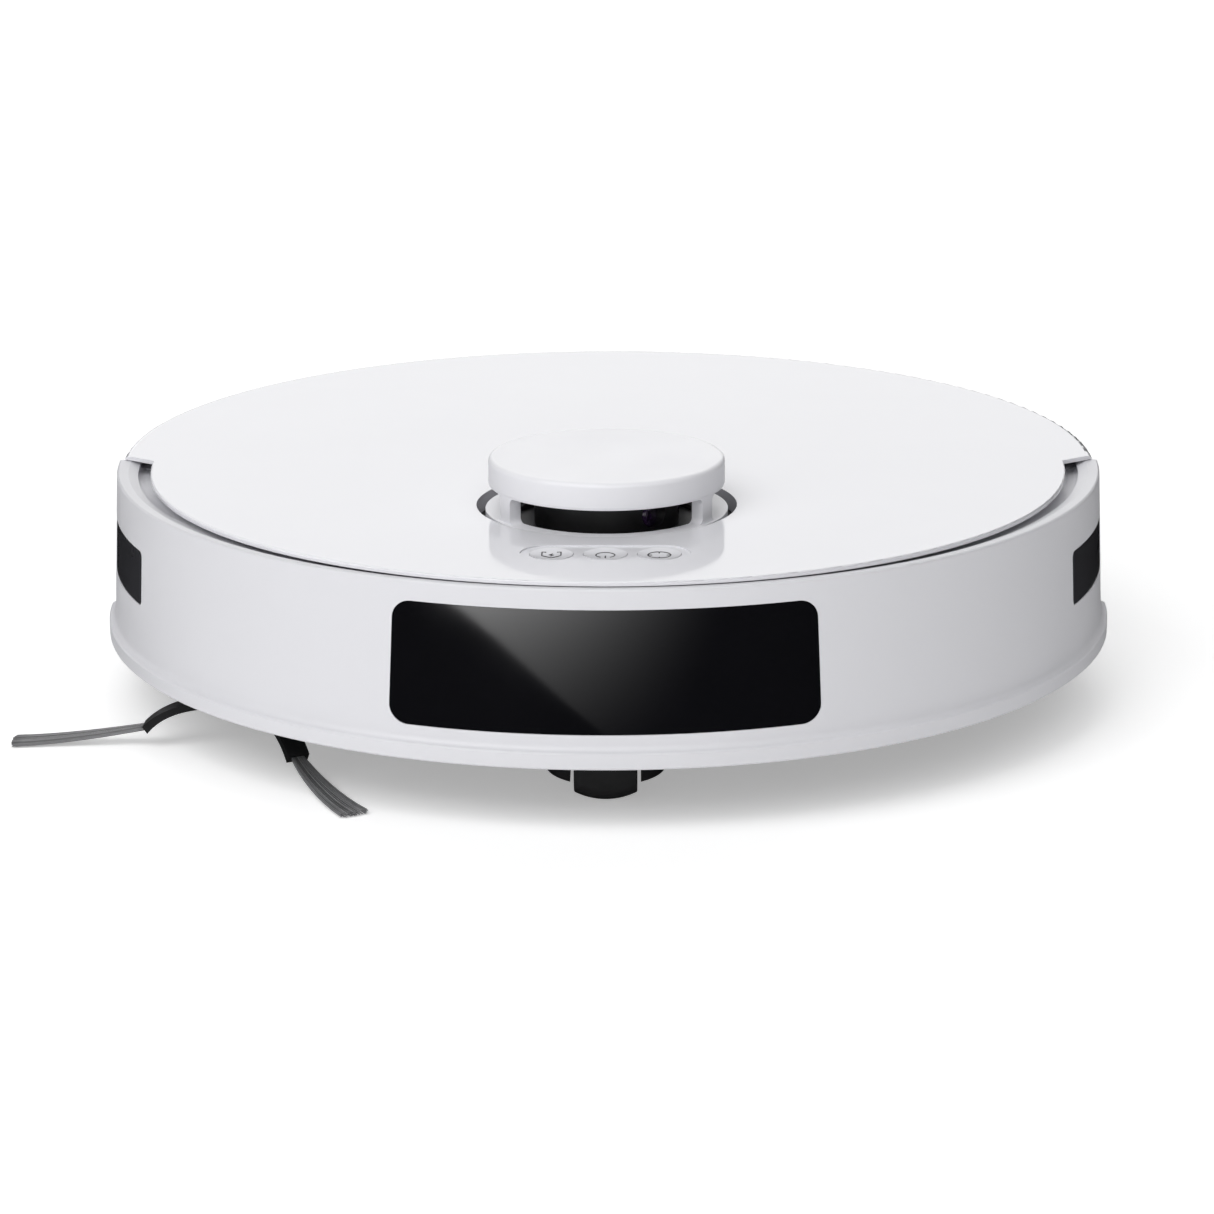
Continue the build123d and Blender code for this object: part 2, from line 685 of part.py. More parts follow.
def main_brush_pulley():
    low, high = brush_belt_x
    pulley = rod_x(low, high, brush_y, brush_z, brush_pulley_radius)
    pulley += rod_x(high, high + 0.8, brush_y, brush_z, brush_pulley_radius + 1.4)
    return pulley - rod_x(low - 1, high + 2, brush_y, brush_z, brush_journal_radius)


def brush_motor():
    motor = rod_x(48, 78, brush_y, brush_motor_z, 11.5)
    motor &= block(40, 100, brush_y - 9.5, brush_y + 9.5, 30, 61)
    motor += rod_x(78, 80, brush_y, brush_motor_z, 5)
    motor += block(54, 72, brush_y - 8, brush_y + 8, chamber_top, brush_motor_z - 7)
    return motor


def brush_motor_pulley():
    low, high = brush_belt_x
    pulley = rod_x(low, high, brush_y, brush_motor_z, brush_motor_pulley_radius)
    pulley += rod_x(high, high + 0.8, brush_y, brush_motor_z, brush_motor_pulley_radius + 1.4)
    return pulley + rod_x(80.3, low, brush_y, brush_motor_z, 1.5)


def brush_belt():
    low, high = brush_belt_x
    distance = brush_motor_z - brush_z
    loop = belt_loop(brush_pulley_radius, brush_motor_pulley_radius, distance, high - low - 0.8)
    return Pos(low + 0.4, brush_y, brush_z) * Rot(0, 90, 0) * mirror(loop, Plane.YZ)


# ---------------------------------------------------------------- side brush
def side_brush_arm_profile():
    """Side view of one arm: out of the hub, over the edge of the recess and down."""
    top = Spline((7.0, 7.4), (17.0, 6.8), (27.0, 4.4), (side_brush_arm_reach, -2.0))
    bottom = Spline((7.0, 4.9), (16.6, 4.3), (26.0, 2.2), (side_brush_arm_reach - 1.6, -4.4))
    return make_face([top, bottom, Line(top @ 0, bottom @ 0), Line(top @ 1, bottom @ 1)])


def side_brush_hub():
    hub = disc(0, 0, 11.0, 1.2, side_brush_recess_top - 0.6)
    hub = fillet(hub.edges().group_by(Axis.Z)[0], 1.2)
    hub += disc(0, 0, 4.0, side_brush_recess_top - 0.6, side_brush_motor_z + 3)
    half = side_brush_arm_width / 2
    for angle in side_brush_arm_angles:
        arm = extrude(Plane.XZ * side_brush_arm_profile(), half, both=True)
        hub += Rot(0, 0, angle) * arm
    hub -= disc(0, 0, 3.0, 0, 3.6)
    return Pos(side_brush_x, side_brush_y, 0) * hub


def side_brush_bristles():
    """Three tufts that fan out from the arms' ends down to the floor."""
    start, tip = side_brush_arm_reach - 0.7, side_brush_tip_reach
    half, tip_half = side_brush_arm_width / 2, side_brush_tip_width / 2
    plan = make_face(Polyline((start, -half), (tip, -tip_half), (tip, tip_half), (start, half), close=True))
    side = make_face(Plane.XZ * Polyline((start, -2.8), (tip, -7.7), (tip, floor_z + 0.2), (start, -4.4),
                                         close=True))
    tuft = extrude(Pos(0, 0, -20) * plan, 40) & extrude(side, 20, both=True)
    tufts = Part()
    for angle in side_brush_arm_angles:
        tufts += Rot(0, 0, angle) * tuft
    arms = Pos(-side_brush_x, -side_brush_y, 0) * side_brush_hub()
    return Pos(side_brush_x, side_brush_y, 0) * (tufts - arms)


def side_brush_motor():
    low = side_brush_motor_z
    motor = disc(0, 0, 15.0, low, low + 10) + disc(0, 0, 12.0, low + 10, low + 28)
    motor = fillet(motor.edges().group_by(Axis.Z)[-1], 1.5)
    along_rim = degrees(atan2(side_brush_y, side_brush_x)) + 90
    motor += Rot(0, 0, along_rim) * block(-22, 22, -4, 4, low, low + 2)
    motor -= disc(0, 0, 4.0 + running_gap, low - 1, low + 4)
    return Pos(side_brush_x, side_brush_y, 0) * motor


# ---------------------------------------------------------------- drive wheels (made on the +X side)
def wheel_arm():
    """Gearbox case beside the wheel: pivots at the back, carries the axle at the front."""
    x0, x1 = 91.0, wheel_x - wheel_width / 2 - 1.2
    case = make_hull((Circle(13) + Pos(wheel_pivot_y, wheel_pivot_z - wheel_z) * Circle(7)).edges())
    case = Pos(x0, 0, wheel_z) * (Plane.YZ * case)
    arm = extrude(case, x1 - x0)
    arm += rod_x(x1, wheel_x + wheel_width / 2 + 1.5, 0, wheel_z, 3.0)
    arm += rod_x(x1, wheel_x + wheel_width / 2 + 3.5, wheel_pivot_y, wheel_pivot_z, 5.0)
    return arm - rod_x(80, 136, wheel_pivot_y, wheel_pivot_z, 2.0 + running_gap)


def wheel_hub():
    half = wheel_width / 2
    hub = rod_x(wheel_x - half, wheel_x + half, 0, wheel_z, wheel_hub_radius)
    hub -= rod_x(wheel_x + half - 5, wheel_x + half + 1, 0, wheel_z, wheel_hub_radius - 4)
    hub += rod_x(wheel_x + half - 6, wheel_x + half, 0, wheel_z, 8)
    for index in range(5):
        spoke = block(wheel_x + half - 5, wheel_x + half - 1, -1.8, 1.8, 0, wheel_hub_radius - 3)
        hub += Pos(0, 0, wheel_z) * Rot(72 * index, 0, 0) * spoke
    return hub - rod_x(80, 140, 0, wheel_z, 3.0 + running_gap)


def wheel_tyre():
    half = wheel_width / 2
    band_radius = wheel_radius - 1.8
    tyre = rod_x(wheel_x - half, wheel_x + half, 0, wheel_z, band_radius)
    for index in range(wheel_lugs):
        lug = block(wheel_x - half, wheel_x + half, -2.2, 2.2, band_radius - 1, wheel_radius)
        tyre += Pos(0, 0, wheel_z) * Rot(360 * index / wheel_lugs, 0, 0) * lug
    outside = tube(0, 0, wheel_radius - 0.01, wheel_radius + 3, -20, 20)
    tyre -= Pos(wheel_x, 0, wheel_z) * Rot(0, 90, 0) * outside
    return tyre - rod_x(80, 140, 0, wheel_z, wheel_hub_radius)


def wheel_pivot_pins():
    return both_sides(rod_x(83.5, 133.0, wheel_pivot_y, wheel_pivot_z, 2.0))


def wheel_springs():
    """Torsion springs wound round the pivots, inboard of the wheel arms."""
    springs = Part()
    for index in range(2):
        turn = Pos(88.8 + 1.2 * index, wheel_pivot_y, wheel_pivot_z) * Rot(0, 90, 0) * Torus(3.2, 0.5)
        springs += turn
    return both_sides(springs)


# ---------------------------------------------------------------- caster
def caster_fork():
    """Swivelling cheeks beside the wheel, with the stem on top."""
    low, high = caster_fork_z
    slot_half = caster_wheel_width / 2 + 1.1
    fork = disc(0, caster_swivel_y, caster_fork_radius, low, high)
    fork = fillet(fork.edges().group_by(Axis.Z)[0], 1.6)
    fork -= block(-slot_half, slot_half, caster_swivel_y - 30, caster_swivel_y + 30, low - 1, high - 0.5)
    fork += disc(0, caster_swivel_y, 17.0, high - 0.5, high + 1.5)
    fork += disc(0, caster_swivel_y, caster_stem_radius, high, 33.0)
    return fork - rod_x(-18, 18, caster_wheel_y, caster_wheel_z, caster_axle_radius)


def caster_wheel():
    """Wheel with a crowned tread."""
    half = caster_wheel_width / 2
    edge, crown = caster_wheel_edge_radius, caster_wheel_radius
    profile = [
        ThreePointArc((edge, -half), (crown, 0), (edge, half)),
        Polyline((edge, half), (0, half), (0, -half), (edge, -half)),
    ]
    wheel = revolve(Plane.XZ * make_face(profile), Axis.Z)
    wheel = fillet(wheel.edges().filter_by(GeomType.CIRCLE), 0.8)
    wheel = Pos(0, caster_wheel_y, caster_wheel_z) * Rot(0, 90, 0) * wheel
    return wheel - rod_x(-20, 20, caster_wheel_y, caster_wheel_z, caster_axle_radius + running_gap)


def caster_axle():
    return rod_x(-16, 16, caster_wheel_y, caster_wheel_z, caster_axle_radius)


def caster_socket():
    """Cup over the caster, with the bearing for its stem."""
    inner = caster_fork_radius + 1.4
    socket = tube(0, caster_swivel_y, inner, inner + 1.8, base_edge_z, 26.0)
    socket += disc(0, caster_swivel_y, inner + 1.8, 24.0, 26.0)
    socket += disc(0, caster_swivel_y, 7.0, 22.0, caster_socket_top)
    return socket - disc(0, caster_swivel_y, caster_stem_radius + running_gap, 20, 34)


# ---------------------------------------------------------------- dustbin and fan
def dustbin_plan(inset, z0, z1):
    """The dustbin's rounded plan, drawn in by inset."""
    low, high = bin_y
    solid = block(-bin_half_width + inset, bin_half_width - inset, low + inset, high - inset, z0, z1)
    return fillet(solid.edges().filter_by(Axis.Z), bin_corner - inset)


def dustbin_body():
    """Open tray with a duct mouth in front and the filter's window in its side."""
    body = dustbin_plan(0, bin_bottom, deck_top - bin_wall)
    body -= dustbin_plan(bin_wall, bin_bottom + bin_wall, deck_top)
    body -= block(-duct_half_width + 2, duct_half_width - 2, bin_y[0] - 1, bin_y[0] + 3,
                  duct_z[0] + 2, duct_z[1] - 2)
    return body - block(bin_half_width - 3, bin_half_width + 1, 71, 105, 19, 47)


def dustbin_lid():
    """Lid with a rim that drops into the tray, and two ears for the handle."""
    lid = dustbin_plan(0, deck_top - bin_wall, deck_top)
    lid += dustbin_plan(bin_wall + 0.2, deck_top - bin_wall - 2, deck_top - bin_wall)
    lid -= dustbin_plan(bin_wall + 1.6, deck_top - bin_wall - 3, deck_top - bin_wall)
    lid -= block(-36, 36, 42, 78, deck_top - 1, deck_top + 1)
    for x in (-36.5, 36.5):
        lid += block(x - 1.5, x + 1.5, 71, 77, deck_top - 1.5, deck_top + 2.6)
    return lid - rod_x(-50, 50, 74, deck_top + 1.0, 1.0 + running_gap)


def dustbin_filter():
    """Pleated filter in its frame, in the side wall next to the fan."""
    frame = block(bin_half_width - 6, bin_half_width, 71.2, 104.8, 19.2, 46.8)
    frame -= block(bin_half_width - 10, bin_half_width + 5, 74, 102, 22, 44)
    for index in range(10):
        y = 74 + 2.8 * index
        frame += block(bin_half_width - 5, bin_half_width - 1, y, y + 1.4, 22, 44)
    return frame


def dustbin_handle():
    """Folding bail that lies on the dustbin's lid."""
    z0, z1 = deck_top - 0.2, deck_top + 2.2
    bail = block(-34.5, 34.5, 44, 75.2, z0, z1) - block(-27, 27, 51, 80, 50, 80)
    bail = fillet(bail.edges().filter_by(Axis.Z).group_by(Axis.Y)[0], 3)
    return bail + rod_x(-37.8, 37.8, 74, deck_top + 1.0, 1.0)


def fan_housing():
    """Snail case of the suction fan, with a flat duct from the filter and an outlet to the grille."""
    low, high = fan_z
    case_top = low + fan_case_height
    housing = disc(fan_x, fan_y, fan_radius, low, case_top)
    housing += block(bin_half_width + 1.2, fan_x - 20, 70, 106, case_top - 9.5, case_top)
    housing -= disc(fan_x, fan_y, fan_radius - 2.5, low + 2, case_top - 2)
    housing -= block(bin_half_width, fan_x - 22, 72, 104, case_top - 7.5, case_top - 2)
    housing -= disc(fan_x, fan_y, 12.0, case_top - 3, high)
    outlet = Rot(0, 0, grille_angle - 90) * block(18, 34, -12, 12, low + 5, case_top - 4)
    return housing - Pos(fan_x, fan_y, 0) * outlet


def fan_motor():
    case_top = fan_z[0] + fan_case_height
    motor = disc(fan_x, fan_y, 11.9, case_top - 3, fan_z[1])
    motor += disc(fan_x, fan_y, 15.0, case_top, case_top + 2)
    motor = fillet(motor.edges().group_by(Axis.Z)[-1], 2)
    return motor - disc(fan_x, fan_y, 2.0 + running_gap, case_top - 5, case_top + 7)


def fan_impeller():
    low = fan_z[0] + 4
    impeller = disc(0, 0, impeller_radius, low, low + 1.4)
    impeller += disc(0, 0, 6.0, low, low + 13)
    impeller += disc(0, 0, 2.0, low + 13, low + 23)
    blade = Pos(5, 0, 0) * Rot(0, 0, 28) * block(0, 17, -0.6, 0.6, low + 1, low + 11)
    for index in range(impeller_blades):
        impeller += Rot(0, 0, 360 * index / impeller_blades) * blade
    return Pos(fan_x, fan_y, 0) * impeller


def main_circuit_board():
    """Control board on four posts, with its larger components."""
    bottom, top = 15.0, 16.6
    board = block(-114, -66, 56, 98, bottom, top)
    parts = ((-102, 70, 14, 14, 1.6), (-80, 68, 10, 10, 1.4), (-78, 86, 8, 12, 6.0), (-96, 88, 12, 6, 5.0),
             (-109, 84, 5, 12, 7.0))
    for x, y, width, depth, height in parts:
        board += block(x - width / 2, x + width / 2, y - depth / 2, y + depth / 2, top, top + height)
    for x, y in ((-108, 60), (-70, 60), (-70, 92), (-104, 84)):
        board += disc(x, y, 2.5, base_thickness, bottom)
    return board


def bumper_switches():
    """Two micro switches behind the bumper, near its corners."""
    switch = block(switch_x - 9, switch_x + 9, switch_y, switch_y + 7, switch_z - 5, switch_z + 5)
    switch += block(switch_x - 1.5, switch_x + 1.5, switch_y - 2, switch_y, switch_z - 1.5, switch_z + 1.5)
    return both_sides(switch)


# ---------------------------------------------------------------- write every piece
def mirrored(make):
    """The same piece on the machine's right side."""
    return lambda: mirror(make(), Plane.YZ)


PIECES = {
    "base_chassis": base_chassis,
    "upper_housing": upper_housing,
    "rear_shell": rear_shell,
    "battery_pack": battery_pack,
    "battery_cover": battery_cover,
    "main_circuit_board": main_circuit_board,
    "fan_housing": fan_housing,
    "fan_motor": fan_motor,
    "exhaust_grille": exhaust_grille,
    "brush_chamber": brush_chamber,
    "brush_guard": brush_guard,
    "brush_motor": brush_motor,
    "brush_belt": brush_belt,
    "side_brush_motor": side_brush_motor,
    "lidar_base": lidar_base,
    "lidar_motor": lidar_motor,
    "lidar_belt": lidar_belt,
    "caster_socket": caster_socket,
    "charging_contacts": charging_contacts,
    "cliff_sensors": cliff_sensors,
    "bumper_switches": bumper_switches,
    "button_board": button_board,
    "chassis_screws": chassis_screws,
    "wheel_brackets": wheel_brackets,
    "wheel_pivot_pins": wheel_pivot_pins,
    "wheel_springs": wheel_springs,
    "bumper_shell": bumper_shell,
    "front_window": lambda: window("front_window"),
    "left_side_window": lambda: window("left_side_window"),
    "right_side_window": lambda: window("right_side_window"),
    "front_sensor_board": front_sensor_board,
    "top_cover": top_cover,
    "dock_button": lambda: button(-button_pitch),
    "power_button": lambda: button(0),
    "spot_button": lambda: button(button_pitch),
    "power_switch": power_switch,
    "turret_cap": turret_cap,
    "lidar_rotor": lidar_rotor,
    "lidar_lenses": lidar_lenses,
    "lidar_motor_pulley": lidar_motor_pulley,
    "main_brush_core": main_brush_core,
    "main_brush_bristles": main_brush_bristles,
    "main_brush_pulley": main_brush_pulley,
    "brush_motor_pulley": brush_motor_pulley,
    "side_brush_hub": side_brush_hub,
    "side_brush_bristles": side_brush_bristles,
    "left_wheel_arm": wheel_arm,
    "left_wheel_hub": wheel_hub,
    "left_wheel_tyre": wheel_tyre,
    "right_wheel_arm": mirrored(wheel_arm),
    "right_wheel_hub": mirrored(wheel_hub),
    "right_wheel_tyre": mirrored(wheel_tyre),
    "caster_fork": caster_fork,
    "caster_wheel": caster_wheel,
    "caster_axle": caster_axle,
    "dustbin_body": dustbin_body,
    "dustbin_lid": dustbin_lid,
    "dustbin_filter": dustbin_filter,
    "dustbin_handle": dustbin_handle,
    "fan_impeller": fan_impeller,
}

os.makedirs("parts", exist_ok=True)
for piece_name, make_piece in PIECES.items():
    export_step(make_piece(), "parts/" + piece_name + ".step")
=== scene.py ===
import json
import random
from math import cos, pi, radians, sin

import bpy
from mathutils import Matrix, Vector


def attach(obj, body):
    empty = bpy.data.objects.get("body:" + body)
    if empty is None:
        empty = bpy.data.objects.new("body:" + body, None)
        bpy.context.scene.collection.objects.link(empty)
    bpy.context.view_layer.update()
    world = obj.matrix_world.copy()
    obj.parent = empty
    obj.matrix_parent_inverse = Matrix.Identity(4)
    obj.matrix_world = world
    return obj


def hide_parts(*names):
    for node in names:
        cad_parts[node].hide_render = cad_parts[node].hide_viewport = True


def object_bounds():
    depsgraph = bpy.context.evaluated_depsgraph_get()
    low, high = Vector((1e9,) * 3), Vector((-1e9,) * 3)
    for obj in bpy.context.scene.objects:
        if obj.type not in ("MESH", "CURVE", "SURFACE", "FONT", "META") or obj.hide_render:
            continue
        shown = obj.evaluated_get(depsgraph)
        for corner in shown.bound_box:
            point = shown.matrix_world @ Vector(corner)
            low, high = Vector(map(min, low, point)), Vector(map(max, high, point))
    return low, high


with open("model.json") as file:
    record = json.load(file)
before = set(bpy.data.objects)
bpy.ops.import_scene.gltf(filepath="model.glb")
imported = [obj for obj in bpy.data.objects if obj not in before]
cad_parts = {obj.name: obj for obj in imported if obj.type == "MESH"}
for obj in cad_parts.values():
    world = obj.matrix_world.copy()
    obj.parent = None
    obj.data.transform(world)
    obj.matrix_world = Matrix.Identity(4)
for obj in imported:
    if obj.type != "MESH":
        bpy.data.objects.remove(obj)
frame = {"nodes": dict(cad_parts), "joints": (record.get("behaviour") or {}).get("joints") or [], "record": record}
cad_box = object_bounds()

MM = 0.001
CAD_NODES = frame["nodes"]
JOINTS = {joint["name"]: joint for joint in frame["joints"]}
FLOOR_Z = cad_box[0].z
random.seed(7)


# ---------------------------------------------------------------- node helpers
class Recipe:
    """A Principled material with helpers that add procedural detail at real scale."""

    def __init__(self, name, roughness, metallic=0.0, specular=0.5):
        self.material = bpy.data.materials.new(name)
        self.material.use_nodes = True
        self.tree = self.material.node_tree
        self.shader = self.tree.nodes["Principled BSDF"]
        self.shader.inputs["Roughness"].default_value = roughness
        self.shader.inputs["Metallic"].default_value = metallic
        self.shader.inputs["Specular IOR Level"].default_value = specular
        self.roughness = roughness
        self.normal = None

    def node(self, kind, **settings):
        made = self.tree.nodes.new(kind)
        for key, value in settings.items():
            setattr(made, key, value)
        return made

    def link(self, source, target):
        self.tree.links.new(source, target)

    def place(self, size_mm, stretch=(1, 1, 1), turn=(0, 0, 0)):
        """Object coordinates scaled so that one unit is size_mm."""
        coordinates = self.node("ShaderNodeTexCoord")
        mapping = self.node("ShaderNodeMapping")
        per_unit = 1 / (size_mm * MM)
        mapping.inputs["Scale"].default_value = [per_unit / s for s in stretch]
        mapping.inputs["Rotation"].default_value = turn
        self.link(coordinates.outputs["Object"], mapping.inputs["Vector"])
        return mapping.outputs["Vector"]

    def noise(self, size_mm, detail=2.0, stretch=(1, 1, 1)):
        texture = self.node("ShaderNodeTexNoise")
        texture.inputs["Scale"].default_value = 1.0
        texture.inputs["Detail"].default_value = detail
        self.link(self.place(size_mm, stretch), texture.inputs["Vector"])
        return texture.outputs["Fac"]

    def color(self, rgb, spread=0.03, size_mm=40.0, detail=3.0, stretch=(1, 1, 1)):
        """Base colour that drifts a little either side of rgb."""
        mix = self.node("ShaderNodeMix", data_type="RGBA")
        mix.inputs[6].default_value = [c * (1 - spread) for c in rgb] + [1]
        mix.inputs[7].default_value = [min(1.0, c * (1 + spread)) for c in rgb] + [1]
        self.link(self.noise(size_mm, detail, stretch), mix.inputs[0])
        self.link(mix.outputs[2], self.shader.inputs["Base Color"])
        return self

    def two_tone(self, mask, low_rgb, high_rgb):
        """Base colour chosen between two by a mask socket."""
        mix = self.node("ShaderNodeMix", data_type="RGBA")
        mix.inputs[6].default_value = list(low_rgb) + [1]
        mix.inputs[7].default_value = list(high_rgb) + [1]
        self.link(mask, mix.inputs[0])
        self.link(mix.outputs[2], self.shader.inputs["Base Color"])
        return self

    def patchy_gloss(self, spread=0.05, size_mm=25.0, stretch=(1, 1, 1)):
        """Roughness that varies with handling and moulding flow."""
        span = self.node("ShaderNodeMapRange")
        span.inputs["From Min"].default_value = 0.3
        span.inputs["From Max"].default_value = 0.7
        span.inputs["To Min"].default_value = max(0.01, self.roughness - spread)
        span.inputs["To Max"].default_value = self.roughness + spread
        self.link(self.noise(size_mm, 4.0, stretch), span.inputs["Value"])
        self.link(span.outputs["Result"], self.shader.inputs["Roughness"])
        return self

    def bump(self, height, depth_mm, strength=1.0):
        """Adds a layer of relief of the given depth."""
        layer = self.node("ShaderNodeBump")
        layer.inputs["Strength"].default_value = strength
        layer.inputs["Distance"].default_value = depth_mm * MM
        self.link(height, layer.inputs["Height"])
        if self.normal is not None:
            self.link(self.normal, layer.inputs["Normal"])
        self.normal = layer.outputs["Normal"]
        self.link(self.normal, self.shader.inputs["Normal"])
        return self

    def grain(self, size_mm, depth_mm, detail=3.0, stretch=(1, 1, 1)):
        return self.bump(self.noise(size_mm, detail, stretch), depth_mm)

    def wave(self, pitch_mm, direction, distortion=0.0):
        texture = self.node("ShaderNodeTexWave", bands_direction=direction)
        texture.inputs["Scale"].default_value = pi / 10
        texture.inputs["Distortion"].default_value = distortion
        self.link(self.place(pitch_mm / 2), texture.inputs["Vector"])
        return texture.outputs["Fac"]

    def socket(self, name, value):
        self.shader.inputs[name].default_value = value
        return self


# ---------------------------------------------------------------- materials, one for each slot
def gloss_plastic(name, rgb, roughness=0.16, specular=0.5):
    recipe = Recipe(name, roughness, specular=specular)
    recipe.color(rgb, 0.012, 60).patchy_gloss(0.03, 30)
    recipe.grain(7.0, 0.0035, 1.0).grain(0.4, 0.0006, 2.0)
    return recipe


def satin_plastic(name, rgb, roughness=0.42, grain_mm=0.35, grain_depth=0.004, spread=0.02):
    recipe = Recipe(name, roughness)
    recipe.color(rgb, spread, 45).patchy_gloss(0.05, 20)
    recipe.grain(grain_mm, grain_depth, 3.0).grain(6.0, 0.003, 1.0)
    return recipe


def textured_plastic(name, rgb, roughness=0.55):
    """Spark-eroded moulding with a fine leathery texture."""
    recipe = Recipe(name, roughness)
    recipe.color(rgb, 0.10, 25).patchy_gloss(0.08, 15)
    pebbles = recipe.node("ShaderNodeTexVoronoi", feature="F1")
    pebbles.inputs["Scale"].default_value = 1.0
    recipe.link(recipe.place(0.6), pebbles.inputs["Vector"])
    recipe.bump(pebbles.outputs["Distance"], 0.02, 0.7)
    recipe.grain(0.25, 0.008, 3.0)
    return recipe


def rubber(name, rgb, roughness=0.62):
    recipe = Recipe(name, roughness, specular=0.35)
    recipe.color(rgb, 0.18, 8).patchy_gloss(0.08, 6)
    recipe.grain(0.5, 0.012, 4.0).grain(5.0, 0.01, 2.0)
    return recipe


def metal(name, rgb, roughness=0.28, stretch=(12, 1, 1), brush_mm=0.12):
    """Drawn or turned metal with fine lines along one direction."""
    recipe = Recipe(name, roughness, metallic=1.0)
    recipe.color(rgb, 0.08, 10).patchy_gloss(0.08, 4)
    recipe.grain(brush_mm, 0.003, 2.0, stretch)
    return recipe


def circuit_board(name):
    """Green solder mask over copper tracks, with pads."""
    recipe = Recipe(name, 0.3)
    tracks = recipe.node("ShaderNodeTexBrick", offset=0.5)
    tracks.inputs["Scale"].default_value = 1.0
    tracks.inputs["Mortar Size"].default_value = 0.09
    tracks.inputs["Brick Width"].default_value = 2.3
    tracks.inputs["Row Height"].default_value = 0.7
    recipe.link(recipe.place(2.2), tracks.inputs["Vector"])
    recipe.two_tone(tracks.outputs["Fac"], (0.01, 0.09, 0.04), (0.03, 0.20, 0.09))
    recipe.bump(tracks.outputs["Fac"], 0.03)
    return recipe.patchy_gloss(0.06, 8)


def filter_paper(name, rgb):
    recipe = Recipe(name, 0.9, specular=0.2)
    recipe.color(rgb, 0.06, 3).grain(0.3, 0.03, 5.0)
    return recipe


def shrink_wrap(name, rgb):
    """Shrink film over cells: soft ridges where it passes from cell to cell."""
    recipe = Recipe(name, 0.25)
    recipe.color(rgb, 0.15, 20).patchy_gloss(0.08, 12)
    recipe.bump(recipe.wave(18.5, "X"), 1.2).grain(9.0, 0.12, 2.0)
    return recipe


def fibre(name, rgb):
    """Nylon bristle: each fibre a slightly different grey."""
    recipe = Recipe(name, 0.38)
    info = recipe.node("ShaderNodeAttribute", attribute_name="fibre_shade")
    span = recipe.node("ShaderNodeMix", data_type="RGBA")
    span.inputs[6].default_value = [c * 0.45 for c in rgb] + [1]
    span.inputs[7].default_value = [c * 1.75 for c in rgb] + [1]
    recipe.link(info.outputs["Fac"], span.inputs[0])
    recipe.link(span.outputs[2], recipe.shader.inputs["Base Color"])
    return recipe.patchy_gloss(0.08, 2)


def dark_window(name, rgb, roughness, specular):
    recipe = Recipe(name, roughness, specular=specular)
    recipe.color(rgb, 0.2, 30).patchy_gloss(0.012, 40)
    recipe.grain(30.0, 0.004, 1.0)
    return recipe


def smoked_plastic(name, rgb):
    recipe = Recipe(name, 0.12)
    recipe.color(rgb, 0.08, 30).patchy_gloss(0.05, 12)
    recipe.grain(8.0, 0.01, 2.0).grain(0.5, 0.002, 2.0)
    return recipe


def coated_glass(name):
    recipe = Recipe(name, 0.05)
    recipe.color((0.03, 0.012, 0.05), 0.5, 6).patchy_gloss(0.02, 5)
    return recipe.socket("Coat Weight", 1.0)


RECIPES = {
    "white_gloss": lambda n: gloss_plastic(n, (0.80, 0.80, 0.835), 0.08),
    "white_satin": lambda n: satin_plastic(n, (0.70, 0.70, 0.73), 0.38, 0.3, 0.002, 0.01),
    "cap_white": lambda n: satin_plastic(n, (0.85, 0.85, 0.88), 0.34, 0.3, 0.002, 0.01),
    "pale_grey": lambda n: satin_plastic(n, (0.58, 0.58, 0.60), 0.42),
    "deck_white": lambda n: satin_plastic(n, (0.76, 0.76, 0.79), 0.38, 0.3, 0.002, 0.01),
    "dark_chassis": lambda n: textured_plastic(n, (0.035, 0.035, 0.038)),
    "black_satin": lambda n: satin_plastic(n, (0.014, 0.014, 0.015), 0.42, 0.4, 0.006, 0.2),
    "window_black": lambda n: dark_window(n, (0.004, 0.004, 0.005), 0.06, 0.2),
    "side_window_grey": lambda n: dark_window(n, (0.036, 0.036, 0.041), 0.28, 0.4),
    "button_white": lambda n: gloss_plastic(n, (0.78, 0.78, 0.815), 0.22),
    "smoke_bin": lambda n: smoked_plastic(n, (0.06, 0.065, 0.072)),
    "filter_paper": lambda n: filter_paper(n, (0.72, 0.72, 0.69)),
    "rubber_black": lambda n: rubber(n, (0.018, 0.018, 0.019)),
    "tyre_rubber": lambda n: rubber(n, (0.02, 0.02, 0.021), 0.7),
    "bristle_grey": lambda n: fibre(n, (0.19, 0.19, 0.195)),
    "brush_red": lambda n: rubber(n, (0.30, 0.05, 0.04)),
    "brush_core_grey": lambda n: satin_plastic(n, (0.09, 0.09, 0.095), 0.45),
    "steel": lambda n: metal(n, (0.56, 0.56, 0.57)),
    "spring_steel": lambda n: metal(n, (0.42, 0.42, 0.44), 0.3),
    "contact_metal": lambda n: metal(n, (0.80, 0.77, 0.72), 0.18, (1, 8, 1)),
    "motor_can": lambda n: metal(n, (0.55, 0.55, 0.56), 0.32, (1, 1, 10)),
    "lens_glass": lambda n: coated_glass(n),
    "battery_wrap": lambda n: shrink_wrap(n, (0.02, 0.05, 0.15)),
    "circuit_green": lambda n: circuit_board(n),
    "fan_grey": lambda n: satin_plastic(n, (0.14, 0.145, 0.15), 0.4),
}
MATERIALS = {slot: make("look_" + slot).material for slot, make in RECIPES.items()}


def dress_cad_nodes():
    """Gives every CAD node the material of its slot."""
    for entry in frame["record"]["subparts"]:
        material = MATERIALS[entry["material_slot"]]
        mesh = CAD_NODES[entry["node"]].data
        for index in range(len(mesh.materials)):
            mesh.materials[index] = material


dress_cad_nodes()


